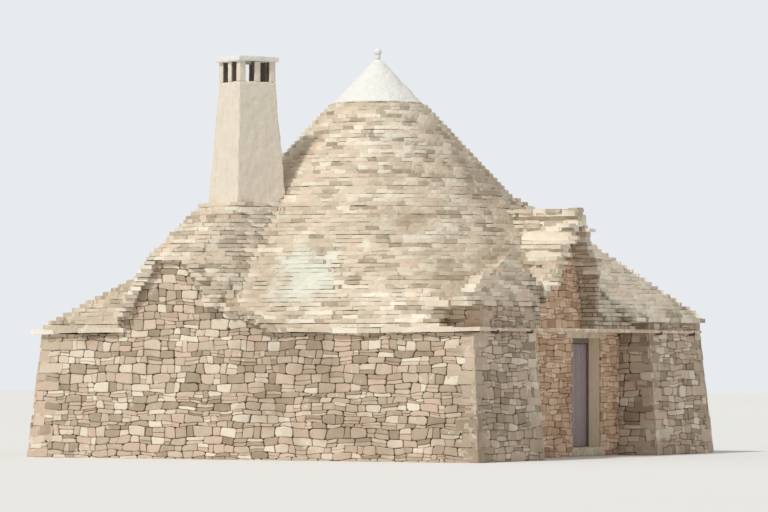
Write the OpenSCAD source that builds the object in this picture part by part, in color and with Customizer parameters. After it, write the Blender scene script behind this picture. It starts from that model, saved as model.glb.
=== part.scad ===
/* [House] */
// Width of the square plan at the ground
house_w = 8660; // [8200:10:9200]
// Lean of the outer wall faces, inward for each metre of height
wall_lean = 84; // [40:2:110]
// Height of the wall tops, where the roof starts
wall_h = 2150; // [2050:10:2300]
// Width of the square room
room_w = 4700; // [4400:10:4900]
// Thickness of the stone floor
floor_t = 120; // [60:5:140]

/* [Roof] */
// Height of the point of the cone
apex_h = 6870; // [6600:10:7200]
// Reach of the cone past the wall tops, at their height
cone_foot_out = 283; // [220:1:340]
// Height of the whitewashed cap
cap_h = 840; // [720:10:960]
// Height of one course of roof slabs
slab_h = 70; // [60:5:90]
// Share of the courses in the lower ring of the cone
lower_share = 0.345; // [0.32:0.005:0.37]
// Share of the courses up to the top of the middle ring
middle_share = 0.67; // [0.6:0.01:0.72]
// Width of the finial ball
finial_d = 130; // [100:5:150]
// Depth of the finial ball in its neck
neck_sink = 13; // [8:1:20]
// Courses of the roof on the far entrance corner
far_rows = 29; // [24:1:31]
// Dry joint between the parts of the roof
dry_joint = 0.3; // [0.2:0.05:0.5]
// Height of the eaves on the near entrance corner, above the wall tops
near_eaves_rise = 450; // [380:10:520]
// Height of the eaves on the far entrance corner, above the wall tops
far_eaves_rise = 200; // [160:10:260]
// Length of the raised eaves along the front, from the corner
near_step_in = 800; // [700:10:900]
// Rise of the short slopes beside the raised corners
step_rise = 1.3; // [1.1:0.1:1.6]
// Rise of the side of the roof on the near entrance corner
near_side_rise = 0.5; // [0.4:0.02:0.7]
// Overhang of the roof over the recess
roof_over = 250; // [200:10:300]
// Run of the slanting edge of the roof from the entrance gable to the far eaves
hood_run = 530; // [400:10:700]

/* [Dome] */
// Depth of the underside of the slab that closes the dome, below the point of the cone
dome_drop = 1370; // [1330:10:1500]
// Radius of the hole that the top slab closes
dome_eye_r = 260; // [200:10:320]
// Height of one corbelled course of the dome
course_h = 210; // [150:10:300]
// Thickness of the outer roof layer, measured level
roof_t = 450; // [380:10:480]
// Distance of the upright foot of the dome from the outer edge of the wall tops
dome_foot_in = 700; // [640:10:800]
// Thickness of the slab that closes the dome
top_slab_t = 120; // [80:10:160]
// Thickness of the slabs that bridge the corners of the room
corner_slab_t = 180; // [120:10:240]
// Length of the legs of a corner slab
corner_slab_leg = 950; // [700:10:1200]

/* [Eaves] */
// Thickness of the eaves slabs
eaves_t = 80; // [60:5:100]
// Overhang of the eaves slabs
eaves_out = 100; // [60:5:140]
// Depth of the eaves slabs on the wall
eaves_in = 400; // [300:10:450]

/* [Entrance] */
// Depth of the recess from the wing faces to the entrance wall
recess_depth = 550; // [450:10:650]
// Place of the near side of the recess, from the axis
recess_near = 2050; // [1950:10:2150]
// Place of the far side of the recess, from the axis
recess_far = 2100; // [2000:10:2200]
// Width of the doorway
door_w = 1060; // [900:10:1160]
// Place of the middle of the doorway, from the axis
door_mid = 880; // [820:10:940]
// Height of the lintel over the doorway
lintel_h = 150; // [120:5:200]
// Depth of the doorway in front of the frame
reveal = 250; // [200:10:320]
// Extra width of the passage behind the frame, on each side
splay = 100; // [90:5:120]
// Bearing of the lintel on each pier
lintel_bearing = 220; // [150:10:260]
// Height of the sill
sill_h = 150; // [130:5:180]
// Height of the entrance gable above the wall tops
gable_rise = 1920; // [1800:10:2000]
// Place of the top of the entrance gable, from the axis
gable_mid = 100; // [60:10:160]
// Run of the near rake of the entrance gable
gable_near_run = 1380; // [1300:10:1440]
// Height of the foot of the near rake, above the wall tops
gable_near_foot = 450; // [400:10:500]
// Run of the far rake of the entrance gable
gable_far_run = 560; // [500:10:620]
// Height of the foot of the far rake, above the wall tops
gable_far_foot = 670; // [600:10:740]
// Thickness of the gables
gable_t = 380; // [320:10:420]
// Thickness of the slabs on the entrance gable
coping_t = 110; // [80:5:130]
// Overhang of the slabs on the gables
coping_out = 60; // [40:5:90]
// Thickness of a row of slabs on the roof of the entrance gable
rake_slab_t = 92; // [80:2:120]

/* [Door] */
// Width of a frame post
post_w = 88; // [80:2:96]
// Depth of the door frame
frame_d = 90; // [80:5:110]
// Thickness of a door leaf
leaf_t = 40; // [32:2:46]
// Gap round a door leaf
leaf_gap = 8; // [6:1:10]
// Radius of a hinge pin
pin_r = 7; // [6:0.5:8]
// Radius of a hinge knuckle
knuckle_r = 12; // [11:0.5:13]
// Height of a hinge knuckle
knuckle_h = 60; // [50:5:80]
// Thickness of a hinge strap
strap_t = 6; // [4:1:8]
// Clear space between a leaf and the inner face of the frame
leaf_set = 2; // [1:0.5:3]
// Clear space round a hinge pin
pin_gap = 1; // [0.8:0.1:1.4]
// Clear space between a hinge knuckle and the face of the leaf
knuckle_set = 4; // [3:0.5:6]
// Distance of the hinges from the head and the sill
hinge_in = 300; // [200:10:400]
// Length of a hinge strap
strap_l = 420; // [300:10:460]
// Length of the foot of a hinge pin on its post
pin_foot = 50; // [35:1:60]

/* [Alcove] */
// Width of the fireplace alcove
alcove_w = 1300; // [1100:10:1400]
// Place of the middle of the alcove, from the axis
alcove_mid = -1100; // [-1200:10:-1000]
// Depth of the alcove in the wall
alcove_d = 950; // [800:10:1050]
// Depth of the top of the alcove arch, below the wall tops
alcove_drop = 200; // [160:10:280]
// Height of the flat top of the alcove gable, above the wall tops
front_gable_rise = 1110; // [1000:10:1200]
// Distance of the left end of the flat top from the middle of the alcove
front_top_left = 850; // [750:10:950]
// Distance of the right end of the flat top, also to the left
front_top_right = 100; // [50:10:200]
// Distance of the left foot of the gable from the middle of the alcove
front_foot_left = 1440; // [1300:10:1500]
// Height of the left foot of the gable above the wall tops
front_foot_rise = 200; // [120:10:260]
// Distance of the knee of the right rake from the middle of the alcove
front_knee_right = 420; // [340:10:500]
// Height of the knee of the right rake above the wall tops
front_knee_rise = 370; // [300:10:440]
// Distance of the right foot of the gable from the middle of the alcove
front_foot_right = 1500; // [1350:10:1600]
// Depth of the low roof behind the right foot
front_foot_depth = 700; // [600:10:800]

/* [Chimney] */
// Distance of the middle of the chimney behind the inner face of the front wall
chimney_back = 150; // [100:10:200]
// Turn of the chimney
chimney_turn = -28; // [-34:1:-22]
// Width of the chimney at its foot
chimney_foot_w = 970; // [900:10:1020]
// Width of the chimney at its top
chimney_top_w = 700; // [640:10:760]
// Height of the foot of the chimney above the cone at its middle
chimney_foot_rise = 290; // [240:10:340]
// Height of the chimney shaft
chimney_h = 2050; // [1900:10:2150]
// Width of the smoke flue
flue_w = 380; // [300:10:420]
// Height of the smoke openings under the slab
smoke_h = 340; // [280:10:400]
// Width of the posts between the smoke openings
post_side = 120; // [90:5:140]
// Thickness of the chimney slab
chimney_slab_t = 90; // [60:5:110]
// Overhang of the chimney slab
chimney_slab_out = 45; // [20:5:70]
// Width of the platform round the foot of the chimney
platform_out = 90; // [60:5:120]

/* [Pole] */
// Radius of the pole across the entrance side
pole_r = 30; // [22:1:36]
// Depth of the pole below the wall tops
pole_drop = 30; // [10:5:60]
// Clear space between the pole and the wall
pole_gap = 40; // [25:5:60]
// Clear space between the near end of the pole and the eaves
pole_end_gap = 30; // [20:5:60]
// Distance of the far end of the pole from the corner
pole_far_in = 150; // [100:10:250]
// Distance of the brackets from the ends of the pole and from the recess
bracket_in = 300; // [200:10:400]

/* [Hidden] */
$fn = 96;
round_fn = 360;

eps = 1;
metre = 1000;
half_base = house_w / 2;
half_top = half_base - wall_lean * wall_h / metre;
cone_rise = (apex_h - wall_h) / (half_top + cone_foot_out);
steps_h = apex_h - cap_h - wall_h;
slab_rows = round(steps_h / slab_h);
slab_step = round(10 * steps_h / slab_rows) / 10;
cap_z = wall_h + slab_rows * slab_step;
lower_z = wall_h + round(lower_share * slab_rows) * slab_step;
middle_z = wall_h + round(middle_share * slab_rows) * slab_step;
near_eaves_z = wall_h + round(near_eaves_rise / slab_step) * slab_step;
far_eaves_z = wall_h + round(far_eaves_rise / slab_step) * slab_step;
far_top_z = far_eaves_z + far_rows * slab_step;
dome_top = apex_h - dome_drop;
dome_foot_r = half_top - dome_foot_in;
door_h = wall_h - lintel_h;
gable_top = wall_h + gable_rise;
alcove_h = wall_h - alcove_drop;
front_gable_top = wall_h + front_gable_rise;
room = room_w / 2;
reach = half_base + 2 * metre;
recess_x = half_top - recess_depth;
frame_x = recess_x - reveal;
door_near = door_mid - door_w / 2;
door_far = door_mid + door_w / 2;
eaves_low = wall_h - eaves_t;
band_back = eaves_in - eaves_out;
thin_edge = 20;
frame_in = frame_x - frame_d;
head_z = door_h - post_w;
leaf_x = frame_in + leaf_set;
pin_x = leaf_x - knuckle_r - knuckle_set;
hinge_zs = [sill_h + hinge_in, head_z - hinge_in];
tip_r = 45;
tip_z = apex_h - tip_r * cone_rise;
platform_w = chimney_foot_w + 2 * platform_out;
chimney_x = alcove_mid;
chimney_y = -room - chimney_back;
chimney_foot_z = apex_h - cone_rise * norm([chimney_x, chimney_y]) + chimney_foot_rise;
chimney_top_z = chimney_foot_z + chimney_h;
pole_near = half_top + eaves_out - eaves_in - pole_end_gap;
pole_far = half_top - pole_far_in;
pole_z = wall_h - pole_drop;
pole_x = half_base - wall_lean * pole_z / metre + pole_gap + pole_r;

// Radius of the outer cone at a height
function cone_r(z) = (apex_h - z) / cone_rise;

// Radius of the inner face of the dome at a height, on one arc from the room to the eye
function dome_arc_r() = (pow(dome_top - wall_h, 2) + pow(room - dome_eye_r, 2)) / (2 * (room - dome_eye_r));
function dome_r(z) = sqrt(pow(dome_arc_r(), 2) - pow(z - wall_h, 2)) - (dome_arc_r() - room);

// Radius of the face between the dome and the outer roof layer
function seat_r(z) = min(dome_foot_r, cone_r(z) - roof_t);

// Radius of the hollow in the outer roof layer, which takes the dome with a dry joint
function hollow_r(z) = seat_r(z) + dry_joint;

// Outer profile of roof courses between two heights, each set back on the one below: the reach of
// the lowest one, and the rise of the roof for each millimetre inward
function stepped(z0, z1, reach_0, rise) = [
    for (i = [0 : round((z1 - z0) / slab_step) - 1]) each [
        [reach_0 - i * slab_step / rise, z0 + i * slab_step],
        [reach_0 - i * slab_step / rise, z0 + (i + 1) * slab_step]
    ]
];

// A profile moved outward and upward by a clearance
function cleared(profile, gap) = [for (p = profile) p + [gap, gap]];

// A profile with its mirror image, which closes it across the axis
function both_sides(profile) = concat(profile, [
    for (i = [len(profile) - 1 : -1 : 0]) [-profile[i].x, profile[i].y]
]);

// A box from its two opposite corners
module block(a, b) {
    translate(a) cube(b - a);
}

// An outline in X and Z, drawn out along Y
module along_y(y0, y1) {
    translate([0, y1, 0]) rotate([90, 0, 0]) linear_extrude(y1 - y0) children();
}

// An outline in Y and Z, drawn out along X
module along_x(x0, x1) {
    translate([x0, 0, 0]) rotate([90, 0, 90]) linear_extrude(x1 - x0) children();
}

// The space inside the leaning outer faces of the walls
module wall_envelope() {
    outline = [[-half_base, 0], [half_base, 0], [half_top, wall_h], [-half_top, wall_h]];
    intersection() {
        along_y(-half_base, half_base) polygon(outline);
        along_x(-half_base, half_base) polygon(outline);
    }
}

// The courses of the solid cone, with a dry joint, from inside the walls to its point
module round_body() {
    foot_z = wall_h - eaves_t;
    courses = cleared(stepped(wall_h, cap_z, cone_r(wall_h), cone_rise), dry_joint);
    rotate_extrude($fn = round_fn) polygon(concat(
        [[0, foot_z], [cone_r(wall_h) + dry_joint, foot_z]], courses,
        [[cone_r(cap_z) + dry_joint, cap_z + dry_joint], [0, apex_h + dry_joint]]
    ));
}

// The same cone with its foot drawn in to the eaves on the four sides
module cone_body() {
    sides = cleared(side_steps(wall_h, lower_z), dry_joint);
    intersection() {
        round_body();
        square_plan(concat([[sides[0].x, wall_h - eaves_t]], sides));
    }
}

// A solid with a square plan, from the profile of its sides
module square_plan(profile) {
    intersection() {
        along_y(-reach, reach) polygon(both_sides(profile));
        along_x(-reach, reach) polygon(both_sides(profile));
    }
}

// Profile of the steep courses on the four sides, from the eaves in to the cone
function side_steps(eaves_z, top_z) = concat(
    stepped(eaves_z, top_z, half_top, (top_z - eaves_z) / (half_top - cone_r(top_z) + thin_edge)),
    [[cone_r(top_z) + thin_edge, top_z], [cone_r(top_z) + thin_edge, apex_h + metre]]
);

// The foot of the roof over the whole plan: square at the eaves, and round where it joins the cone
module skirt(eaves_z, top_z) {
    diagonal = half_top * sqrt(2);
    rise = (top_z - eaves_z) / (diagonal - cone_r(top_z) - thin_edge);
    intersection() {
        square_plan(side_steps(eaves_z, top_z));
        rotate_extrude($fn = round_fn)
            polygon(concat([[0, eaves_z]], stepped(eaves_z, top_z, diagonal, rise), [[0, top_z]]));
    }
}

// Distance from the axis, along the eaves, at which a level comes clear of the cone
function clear_from(z) = sqrt(max(0, pow(cone_r(z - thin_edge), 2) - pow(half_top, 2)));

// Profile along the eaves of the ends of a corner roof, cut off where a course gets thinner than the
// tread under it
function blunt_ends(eaves_z, top_z) = let (
    tread = slab_step / cone_rise, sides = side_steps(eaves_z, top_z),
    round_part = stepped(eaves_z, top_z, cone_r(eaves_z) + tread + thin_edge, cone_rise)
) [for (i = [0 : len(round_part) - 1])
    [sqrt(max(0, pow(round_part[i].x, 2) - pow(sides[i].x, 2))), round_part[i].y]];

// The foot of the roof on one corner of the plan, outside the cone
module corner_roof(sx, sy, eaves_z, top_z) {
    cut = cleared(blunt_ends(eaves_z, top_z), dry_joint);
    ends = concat([[-eps, eaves_z - eps], [cut[0].x, eaves_z - eps]], cut, [[-eps, top_z + dry_joint]]);
    difference() {
        intersection() {
            skirt(eaves_z, top_z);
            mirror([sx < 0 ? 1 : 0, 0, 0]) mirror([0, sy < 0 ? 1 : 0, 0]) difference() {
                block([0, 0, eaves_z - eps], [reach, reach, apex_h]);
                along_y(half_top / 2, reach) polygon(ends);
                along_x(half_top / 2, reach) polygon(ends);
            }
        }
        round_body();
    }
}

// The open space of the recess in front of the entrance
module recess_space() {
    block([recess_x, -recess_near, -eps], [reach, recess_far, apex_h]);
}

// The same space above the wall tops, where the roof hangs over the entrance: its edge slants out
// from the gable to the far eaves
module roof_recess_space() {
    edge_x = recess_x + roof_over;
    gable_y = gable_mid + gable_far_run + coping_t;
    block([edge_x, -recess_near, -eps], [reach, recess_far, far_eaves_z - eaves_t]);
    translate([0, 0, far_eaves_z - eaves_t - eps]) linear_extrude(apex_h) polygon([
        [edge_x, -recess_near], [reach, -recess_near], [reach, gable_y + hood_run],
        [half_top + eaves_out, gable_y + hood_run], [edge_x, gable_y]
    ]);
}

// The square flue, upright over the alcove
module flue_space(z0, z1) {
    translate([chimney_x, chimney_y, z0]) rotate(chimney_turn)
        translate([-flue_w / 2, -flue_w / 2, 0]) cube([flue_w, flue_w, z1 - z0]);
}

module floor() {
    color("tan") union() {
        block([-room, -room, 0], [room, room, floor_t]);
        along_y(-room - alcove_d, -room)
            translate([alcove_mid - alcove_w / 2, 0]) square([alcove_w, floor_t]);
    }
}

module door_sill() {
    color("lightgray") block([room, door_near - splay, 0], [frame_x, door_far + splay, sill_h]);
    color("lightgray") block([frame_x, door_near, 0], [recess_x, door_far, sill_h]);
}

// Arched outline of the fireplace alcove
module alcove_outline() {
    spring = alcove_h - alcove_w / 2;
    translate([alcove_mid - alcove_w / 2, -eps]) square([alcove_w, spring + eps]);
    translate([alcove_mid, spring]) circle(r = alcove_w / 2);
}

module front_wall() {
    color("wheat") difference() {
        intersection() {
            wall_envelope();
            block([-reach, -reach, 0], [room, -room, wall_h]);
        }
        eaves_front_slab();
        eaves_left_slab();
        along_y(-room - alcove_d, -room + eps) alcove_outline();
        flue_space(alcove_h - alcove_w / 2, wall_h + eps);
    }
}

module left_wall() {
    color("wheat") difference() {
        intersection() {
            wall_envelope();
            block([-reach, -room, 0], [-room, room, wall_h]);
        }
        eaves_left_slab();
    }
}

module back_wall() {
    color("wheat") difference() {
        intersection() {
            wall_envelope();
            block([-reach, room, 0], [room, reach, wall_h]);
        }
        eaves_back_slab();
        eaves_left_slab();
    }
}

module near_wing() {
    color("wheat") difference() {
        intersection() {
            wall_envelope();
            block([room, -reach, 0], [reach, -recess_near, wall_h]);
        }
        eaves_front_slab();
    }
}

module far_wing() {
    color("wheat") difference() {
        intersection() {
            wall_envelope();
            block([room, recess_far, 0], [reach, reach, wall_h]);
        }
        eaves_back_slab();
    }
}

// The lintel over the whole depth of the doorway
module lintel_block() {
    block([room, door_near - lintel_bearing, door_h], [recess_x, door_far + lintel_bearing, wall_h]);
}

// The doorway, narrow in front of the frame and wider behind it
module doorway_space() {
    block([room - eps, door_near - splay, -eps], [frame_x, door_far + splay, door_h + eps]);
    block([frame_x - eps, door_near, -eps], [recess_x + eps, door_far, door_h + eps]);
}

module entrance_pier_near() {
    color("rosybrown") difference() {
        block([room, -recess_near, 0], [recess_x, door_mid, wall_h]);
        doorway_space();
        lintel_block();
        block([room - eps, door_near, door_h], [recess_x + eps, reach, wall_h + eps]);
    }
}

module entrance_pier_far() {
    color("rosybrown") difference() {
        block([room, door_mid, 0], [recess_x, recess_far, wall_h]);
        doorway_space();
        lintel_block();
    }
}

module entrance_lintel() {
    color("lightgray") lintel_block();
}

// Flat slabs along the top of the front wall, which the alcove gable interrupts
module eaves_front_slab() {
    out = half_top + eaves_out;
    difference() {
        block([-out, -out, eaves_low], [out, -out + eaves_in, wall_h]);
        block([alcove_mid - front_foot_left, -out - eps, eaves_low - eps],
            [alcove_mid + front_foot_right, -out + eaves_in + eps, wall_h + eps]);
    }
}

module eaves_left_slab() {
    out = half_top + eaves_out;
    block([-out, -out + eaves_in, eaves_low], [-out + eaves_in, out - eaves_in, wall_h]);
}

module eaves_back_slab() {
    out = half_top + eaves_out;
    block([-out, out - eaves_in, eaves_low], [half_top, out, wall_h]);
}

module eaves_front() {
    color("gainsboro") eaves_front_slab();
}

module eaves_left() {
    color("gainsboro") eaves_left_slab();
}

module eaves_back() {
    color("gainsboro") eaves_back_slab();
}

// The short slope that ends the raised mass over the near entrance corner on its left, across the
// diagonal of the plan: from the wall tops to the raised eaves, and up along the roof
function near_slope() = let (
    foot = -near_step_in / sqrt(2), knee = foot + (near_eaves_z - wall_h) / step_rise
) [
    [foot - wall_h / step_rise, 0], [knee, near_eaves_z],
    [knee + (apex_h - near_eaves_z) / near_side_rise, apex_h]
];

// All that lies to one side of that slope, to the right or to the left
module beside_slope(side) {
    rotate(45) along_y(-2 * reach, 2 * reach)
        polygon(concat(near_slope(), [[side * 2 * reach, apex_h], [side * 2 * reach, 0]]));
}

// The raised mass over the near entrance corner
module near_raised(z0, z1, out, back, y_end) {
    intersection() {
        block([0, -half_top + back - out, z0], [half_top + out, y_end, z1]);
        beside_slope(1);
    }
}

module near_wing_top() {
    color("tan") difference() {
        near_raised(wall_h, near_eaves_z - eaves_t, 0, band_back, -recess_near);
        cone_body();
    }
}

module near_wing_eaves() {
    color("gainsboro") difference() {
        near_raised(near_eaves_z - eaves_t, near_eaves_z, eaves_out, 0, -recess_near);
        cone_body();
    }
}

module near_corner_roof() {
    color("silver") difference() {
        skirt(near_eaves_z, lower_z);
        round_body();
        beside_slope(-1);
        block([-reach, gable_mid - gable_near_run, wall_h - eps], [reach, reach, apex_h]);
        roof_recess_space();
    }
}

module front_right_roof() {
    color("silver") difference() {
        corner_roof(1, -1, wall_h, lower_z);
        near_raised(wall_h - eps, apex_h, eaves_out, 0, gable_mid - gable_near_run);
        roof_recess_space();
        block([room, gable_mid - gable_near_run, wall_h - eps], [reach, reach, apex_h]);
    }
}

// The raised mass over the far entrance corner
module far_raised(y_start, z0, z1, out) {
    block([clear_from(z1), y_start, z0], [half_top + out, half_top + out, z1]);
}

module far_wing_top() {
    color("tan") difference() {
        far_raised(recess_far, wall_h, far_eaves_z - eaves_t, 0);
        cone_body();
    }
}

module far_wing_eaves() {
    color("gainsboro") difference() {
        far_raised(gable_mid + gable_far_run + coping_t + hood_run, far_eaves_z - eaves_t, far_eaves_z, eaves_out);
        cone_body();
    }
}

module far_corner_roof() {
    color("silver") difference() {
        corner_roof(1, 1, far_eaves_z, far_top_z);
        roof_recess_space();
    }
}

module front_left_roof() {
    color("silver") difference() {
        corner_roof(-1, -1, wall_h, lower_z);
        front_gable_block(-half_top);
        alcove_mass();
    }
}

module back_left_roof() {
    color("silver") corner_roof(-1, 1, wall_h, lower_z);
}

module corner_slabs() {
    color("lightgray") for (turn = [0, 90, 180, 270])
        rotate(turn) translate([0, 0, wall_h - corner_slab_t]) linear_extrude(corner_slab_t)
            polygon([[room, room], [room - corner_slab_leg, room], [room, room - corner_slab_leg]]);
}

// Ring of the dome between two heights, its inner face in corbelled steps
module dome_ring(first, last) {
    steps = [for (i = [first : last]) each [
        [dome_r(wall_h + i * course_step()), wall_h + i * course_step()],
        [dome_r(wall_h + i * course_step()), wall_h + (i + 1) * course_step()]
    ]];
    z0 = wall_h + first * course_step();
    z1 = wall_h + (last + 1) * course_step();
    knee = apex_h - (dome_foot_r + roof_t) * cone_rise;
    outer = z0 < knee && z1 > knee
        ? [[seat_r(z1), z1], [dome_foot_r, knee], [dome_foot_r, z0]]
        : [[seat_r(z1), z1], [seat_r(z0), z0]];
    rotate_extrude($fn = round_fn) polygon(concat(steps, outer));
}

// Courses that fill the height of the dome evenly
function courses() = round((dome_top - wall_h) / course_h);
function course_step() = (dome_top - wall_h) / courses();
function lower_courses() = round(courses() / 3);
function middle_courses() = round(2 * courses() / 3);

module dome_lower() {
    color("bisque") difference() {
        dome_ring(0, lower_courses() - 1);
        flue_space(wall_h - eps, apex_h);
        gable_notch();
    }
}

module dome_middle() {
    color("bisque") difference() {
        dome_ring(lower_courses(), middle_courses() - 1);
        flue_space(wall_h - eps, apex_h);
    }
}

module dome_upper() {
    color("bisque") dome_ring(middle_courses(), courses() - 1);
}

module dome_top_slab() {
    color("lightgray") translate([0, 0, dome_top]) cylinder(r = seat_r(dome_top), h = top_slab_t);
}

// Ring of the outer roof layer between two heights, hollow over the dome
module cone_ring(z0, z1) {
    knee = apex_h - (dome_foot_r + roof_t) * cone_rise;
    top = dome_top + top_slab_t;
    outer = stepped(z0, z1, cone_r(z0), cone_rise);
    inner = z1 < dome_top
        ? [[hollow_r(z1), z1], [hollow_r(max(z0, knee)), max(z0, knee)], [hollow_r(z0), z0]]
        : [
            [0, z1], [0, top], [hollow_r(dome_top), top], [hollow_r(dome_top), dome_top],
            [hollow_r(z0), z0]
        ];
    rotate_extrude($fn = round_fn) polygon(concat(outer, inner));
}

module cone_lower() {
    color("silver") difference() {
        intersection() {
            cone_ring(wall_h, lower_z);
            square_plan(side_steps(wall_h, lower_z));
        }
        roof_recess_space();
        gable_notch();
        front_gable_block(-half_top);
        flue_space(wall_h - eps, apex_h);
    }
}

module cone_middle() {
    color("silver") difference() {
        cone_ring(lower_z, middle_z);
        flue_space(wall_h, apex_h);
    }
}

module cone_upper() {
    color("silver") cone_ring(middle_z, cap_z);
}

module cone_cap() {
    color("white") translate([0, 0, cap_z])
        cylinder(r1 = cone_r(cap_z), r2 = tip_r, h = tip_z - cap_z);
}

module finial() {
    neck_h = finial_d / 2;
    color("white") translate([0, 0, tip_z + dry_joint]) rotate_extrude() union() {
        square([tip_r, neck_h]);
        intersection() {
            translate([0, finial_d - neck_sink]) circle(d = finial_d);
            square([finial_d, 2 * finial_d]);
        }
    }
}

// Outline of the alcove gable in the front wall, down to the knee of its right rake
module front_gable_outline(out) {
    polygon([
        [alcove_mid - front_foot_left - out, wall_h],
        [alcove_mid - front_foot_left - out, wall_h + front_foot_rise],
        [alcove_mid - front_top_left - out, front_gable_top + out],
        [alcove_mid - front_top_right + out, front_gable_top + out],
        [alcove_mid + front_knee_right + out, wall_h + front_knee_rise + out],
        [alcove_mid + front_knee_right + out, wall_h]
    ]);
}

// Outline of the low end of the gable, right of the knee
module front_foot_outline(out) {
    polygon([
        [alcove_mid + front_knee_right, wall_h],
        [alcove_mid + front_knee_right, wall_h + front_knee_rise + out],
        [alcove_mid + front_knee_right + out, wall_h + front_knee_rise + out],
        [alcove_mid + front_foot_right + out, wall_h]
    ]);
}

module front_gable_block(front) {
    along_y(front, -half_top + gable_t) {
        front_gable_outline(0);
        front_foot_outline(0);
    }
}

module front_gable() {
    color("wheat") front_gable_block(-half_top);
}

// The spur of roof from the alcove gable up to the foot of the chimney
module alcove_mass() {
    hull() {
        along_y(-half_top - coping_out, -half_top) front_gable_outline(coping_out);
        translate([chimney_x, chimney_y, wall_h]) rotate(chimney_turn)
            translate([-platform_w / 2, -platform_w / 2, 0])
                cube([platform_w, platform_w, chimney_foot_z - wall_h]);
    }
    along_y(-half_top - coping_out, -half_top + front_foot_depth) front_foot_outline(coping_out);
}

module alcove_roof() {
    color("silver") difference() {
        alcove_mass();
        cone_body();
        front_gable_block(-half_top - 2 * coping_out);
        flue_space(wall_h - eps, apex_h);
    }
}

// Outline of the entrance gable, in Y and Z
module entrance_gable_outline() {
    polygon([
        [gable_mid - gable_near_run, wall_h], [gable_mid - gable_near_run, wall_h + gable_near_foot],
        [gable_mid, gable_top], [gable_mid + gable_far_run, wall_h + gable_far_foot],
        [gable_mid + gable_far_run, wall_h]
    ]);
}

// The notch that the entrance gable fills in the cone and the dome
module gable_notch() {
    along_x(recess_x - gable_t, reach) entrance_gable_outline();
}

module entrance_gable() {
    color("rosybrown") along_x(recess_x - gable_t, recess_x) entrance_gable_outline();
}

// Rows of slabs that climb from one point of an outline to another
function rake_steps(from, to) = let (rows = round(abs(to.y - from.y) / rake_slab_t)) [
    for (i = [0 : rows - 1]) each [
        [from.x + i * (to.x - from.x) / rows, from.y + i * (to.y - from.y) / rows],
        [from.x + i * (to.x - from.x) / rows, from.y + (i + 1) * (to.y - from.y) / rows]
    ]
];

module entrance_roof() {
    near_foot = [gable_mid - gable_near_run, wall_h + gable_near_foot + coping_t];
    far_foot = [gable_mid + gable_far_run + coping_t, wall_h + gable_far_foot + coping_t];
    ridge = [gable_mid, gable_top + coping_t];
    far_rake = rake_steps(far_foot, ridge);
    color("silver") difference() {
        along_x(room / 2, recess_x + roof_over + coping_out) polygon(concat(
            [[near_foot.x, wall_h]], rake_steps(near_foot, ridge),
            [for (i = [len(far_rake) - 1 : -1 : 0]) far_rake[i]], [[far_foot.x, wall_h]]
        ));
        cone_body();
        gable_notch();
    }
}

// Tapered square shaft of the chimney, standing on a height
module chimney_body() {
    outline = [
        [-chimney_foot_w / 2, chimney_foot_z], [chimney_foot_w / 2, chimney_foot_z],
        [chimney_top_w / 2, chimney_top_z], [-chimney_top_w / 2, chimney_top_z]
    ];
    translate([chimney_x, chimney_y, 0]) rotate(chimney_turn) intersection() {
        along_y(-chimney_foot_w / 2, chimney_foot_w / 2) polygon(outline);
        along_x(-chimney_foot_w / 2, chimney_foot_w / 2) polygon(outline);
    }
}

module chimney_shaft() {
    color("ivory") difference() {
        chimney_body();
        cone_body();
        flue_space(wall_h, apex_h + metre);
    }
}

module chimney_posts() {
    place = chimney_top_w / 2 - post_side / 2;
    color("ivory") translate([chimney_x, chimney_y, chimney_top_z + dry_joint]) rotate(chimney_turn)
        for (x = [-1 : 1])
            for (y = [-1 : 1])
                if (x != 0 || y != 0)
                    translate([x * place - post_side / 2, y * place - post_side / 2, 0])
                        cube([post_side, post_side, smoke_h - 2 * dry_joint]);
}

module chimney_slab() {
    slab_w = chimney_top_w + 2 * chimney_slab_out;
    color("gainsboro") translate([chimney_x, chimney_y, chimney_top_z + smoke_h]) rotate(chimney_turn)
        translate([-slab_w / 2, -slab_w / 2, 0]) cube([slab_w, slab_w, chimney_slab_t]);
}

module door_frame() {
    low = door_near - splay;
    high = door_far + splay;
    color("slategray") difference() {
        block([frame_in, low, sill_h], [frame_x, high, door_h]);
        block([frame_in - eps, low + post_w, sill_h - eps], [frame_x + eps, high - post_w, head_z]);
    }
}

// Runs its children for the near leaf, or mirrored for the far one, from the edge of the opening
module at_leaf(side) {
    translate([0, door_mid, 0]) mirror([0, side, 0])
        translate([0, post_w - splay - door_w / 2, 0]) children();
}

module hinge_pins() {
    color("dimgray") for (side = [0, 1])
        for (z = hinge_zs)
            at_leaf(side) union() {
                translate([pin_x, 0, z - knuckle_r]) cylinder(r = pin_r, h = knuckle_h + knuckle_r);
                block([pin_x - pin_r, -pin_foot, z - 2 * knuckle_r], [frame_in, pin_r, z - knuckle_r]);
            }
}

// One hinge of a leaf: the strap, the knuckle and the web between them
module leaf_hinge(z) {
    difference() {
        union() {
            translate([pin_x, 0, z]) cylinder(r = knuckle_r, h = knuckle_h);
            block([pin_x, 0, z], [pin_x + knuckle_r, 2 * leaf_gap, z + knuckle_h]);
            block([leaf_x - strap_t, leaf_gap, z], [leaf_x, strap_l, z + knuckle_h]);
        }
        translate([pin_x, 0, z - eps]) cylinder(r = pin_r + pin_gap, h = knuckle_h + 2 * eps);
    }
}

module door_leaf() {
    leaf_w = door_w / 2 + splay - post_w - leaf_gap;
    block([leaf_x, leaf_gap, sill_h + leaf_gap], [leaf_x + leaf_t, leaf_w, head_z - leaf_gap]);
    for (z = hinge_zs)
        leaf_hinge(z - knuckle_r + pin_gap);
}

module door_leaf_near() {
    color("lightslategray") at_leaf(0) door_leaf();
}

module door_leaf_far() {
    color("lightslategray") at_leaf(1) door_leaf();
}

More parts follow.
